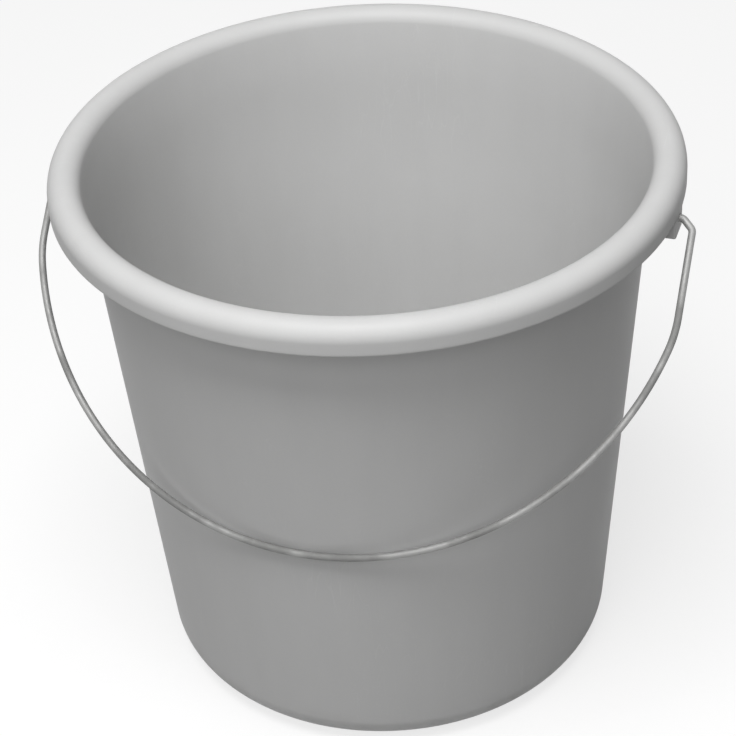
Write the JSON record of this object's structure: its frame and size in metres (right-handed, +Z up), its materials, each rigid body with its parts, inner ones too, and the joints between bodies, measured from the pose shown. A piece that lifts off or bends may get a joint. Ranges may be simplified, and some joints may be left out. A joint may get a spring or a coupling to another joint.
{
  "type": "plastic bucket",
  "caption": "Plain grey tapered plastic bucket with a rolled rim, a rounded base and a bent wire bail that swings in ears under the rim.",
  "frame": {"origin": "on the ground, on the bucket's axis, at the middle of the foot ring", "axes": "+Z up along the bucket's axis, +X through the ears along the bail's pivot axis, -Y towards the side where the bail hangs"},
  "size_m": [0.3164, 0.3, 0.278],
  "materials": {
    "grey_plastic": "satin moulded polypropylene, lightly scuffed",
    "galvanised_wire": "dull zinc-coated drawn wire"
  },
  "bodies": {
    "bucket": {"bucket_body": "grey_plastic"},
    "bail": {"wire_bail": "galvanised_wire"}
  },
  "joints": [
    {"name": "bail_swing", "type": "hinge", "parent": "bucket", "child": "bail", "pos_m": [0, 0, 0.2605], "axis": [-1, 0, 0], "range_deg": [0, 271.9]}
  ]
}
